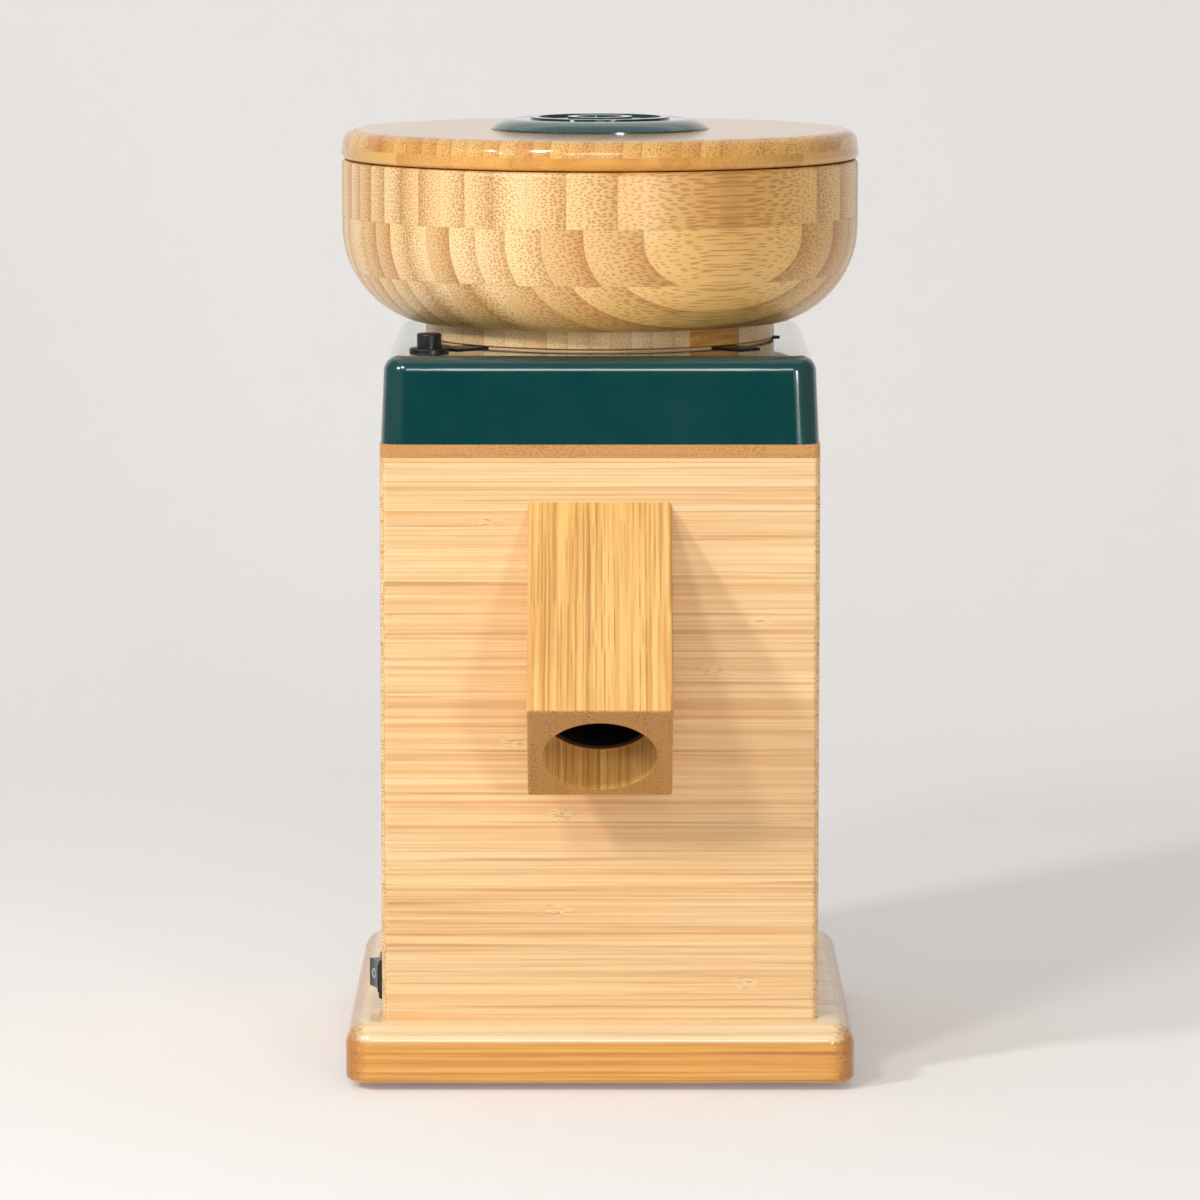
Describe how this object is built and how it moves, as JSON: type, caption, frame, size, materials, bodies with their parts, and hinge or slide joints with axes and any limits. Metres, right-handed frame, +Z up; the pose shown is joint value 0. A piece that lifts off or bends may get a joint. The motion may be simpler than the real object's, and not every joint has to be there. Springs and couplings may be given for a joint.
{
  "type": "electric grain mill",
  "caption": "Electric stone grain mill: square bamboo housing on a base, glossy cap, turning bowl hopper with lid, sloping square flour spout.",
  "frame": {"origin": "on the surface it stands on, under the centre of its bounding box", "axes": "+Z up along the mill axis, -Y to the front where the spout points, +X to the right seen from the front"},
  "size_m": [0.2, 0.2609, 0.362],
  "materials": {
    "bamboo_panel": "satin lacquer",
    "bamboo_base": "satin lacquer",
    "bamboo_edge": "satin lacquer",
    "bamboo_bowl": "gloss lacquer",
    "bamboo_lid": "gloss lacquer",
    "bamboo_spout": "satin lacquer",
    "teal_enamel": "gloss",
    "black_plastic": "fine texture",
    "inner_plastic": "moulded",
    "rubber": "matt",
    "cast_aluminium": "as cast",
    "lamination_steel": "oiled edges",
    "winding": "enamelled copper wire",
    "zinc_steel": "zinc plate",
    "bright_steel": "ground",
    "brass": "plain",
    "capacitor_case": "moulded",
    "millstone": "rough ceramic"
  },
  "bodies": {
    "housing": {"front_panel": "bamboo_panel", "rear_panel": "bamboo_panel", "left_panel": "bamboo_panel", "right_panel": "bamboo_panel", "base_plate": "bamboo_base", "top_deck": "bamboo_edge", "spout_block": "bamboo_spout", "top_cap": "teal_enamel", "thread_ring": "black_plastic", "button_bush": "black_plastic", "switch_housing": "black_plastic", "cord_gland": "black_plastic", "gland_nut": "black_plastic", "spout_liner": "black_plastic", "rubber_feet": "rubber", "chamber_seal": "rubber", "milling_chamber": "cast_aluminium", "motor_lower_bell": "cast_aluminium", "motor_upper_bell": "cast_aluminium", "stator_core": "lamination_steel", "stator_winding": "winding", "foot_screws": "zinc_steel", "base_screws": "zinc_steel", "deck_screws": "zinc_steel", "ring_screws": "zinc_steel", "chamber_screws": "zinc_steel", "spout_screws": "zinc_steel", "latch_post": "zinc_steel", "motor_bolts": "zinc_steel", "clip_screw": "zinc_steel", "capacitor_clip": "zinc_steel", "lower_bearing": "bright_steel", "upper_bearing": "bright_steel", "button_spring": "bright_steel", "carrier_springs": "bright_steel", "switch_terminals": "brass", "run_capacitor": "capacitor_case", "thermal_cutout": "capacitor_case"},
    "stone_carrier": {"upper_stone": "millstone", "upper_stone_carrier": "inner_plastic", "stone_screws": "zinc_steel"},
    "hopper": {"hopper_collar": "inner_plastic", "collar_screws": "zinc_steel", "neck_ring": "bamboo_edge", "hopper_bowl": "bamboo_bowl", "feed_throat": "inner_plastic"},
    "lid": {"hopper_lid": "bamboo_lid", "lid_badge": "teal_enamel"},
    "button": {"release_button": "black_plastic", "latch_bar": "zinc_steel"},
    "rocker": {"switch_rocker": "black_plastic"},
    "motor": {"motor_shaft": "bright_steel", "rotor_core": "lamination_steel", "rotor_end_rings": "cast_aluminium", "cooling_fan": "inner_plastic", "lower_stone_carrier": "cast_aluminium", "lower_stone": "millstone", "stone_nut": "zinc_steel"}
  },
  "joints": [
    {"name": "stone_lift", "type": "slide", "parent": "housing", "child": "stone_carrier", "axis": [0, 0, 1], "range_m": [0, 0.003], "deforming": ["carrier_springs"]},
    {"name": "hopper_turn", "type": "hinge", "parent": "stone_carrier", "child": "hopper", "pos_m": [0, 0.02645, 0.28], "axis": [0, 0, 1], "range_deg": [0, 270]},
    {"name": "lid_lift", "type": "slide", "parent": "hopper", "child": "lid", "axis": [0, 0, 1], "range_m": [0, 0.08]},
    {"name": "button_press", "type": "slide", "parent": "housing", "child": "button", "axis": [0, 0, -1], "range_m": [0, 0.004], "stiffness_N_per_m": 600, "springref_m": -0.003, "deforming": ["button_spring"]},
    {"name": "power_rocker", "type": "hinge", "parent": "housing", "child": "rocker", "pos_m": [-0.0815, -0.03355, 0.0366], "axis": [0, 0, 1], "range_deg": [-26, 0]},
    {"name": "motor_spin", "type": "hinge", "parent": "housing", "child": "motor", "pos_m": [0, 0.02645, 0.112], "axis": [0, 0, 1], "continuous": true}
  ],
  "couplings": [
    {"joint": "stone_lift", "follows": "hopper_turn", "m_per_rad": 0.0006366}
  ]
}
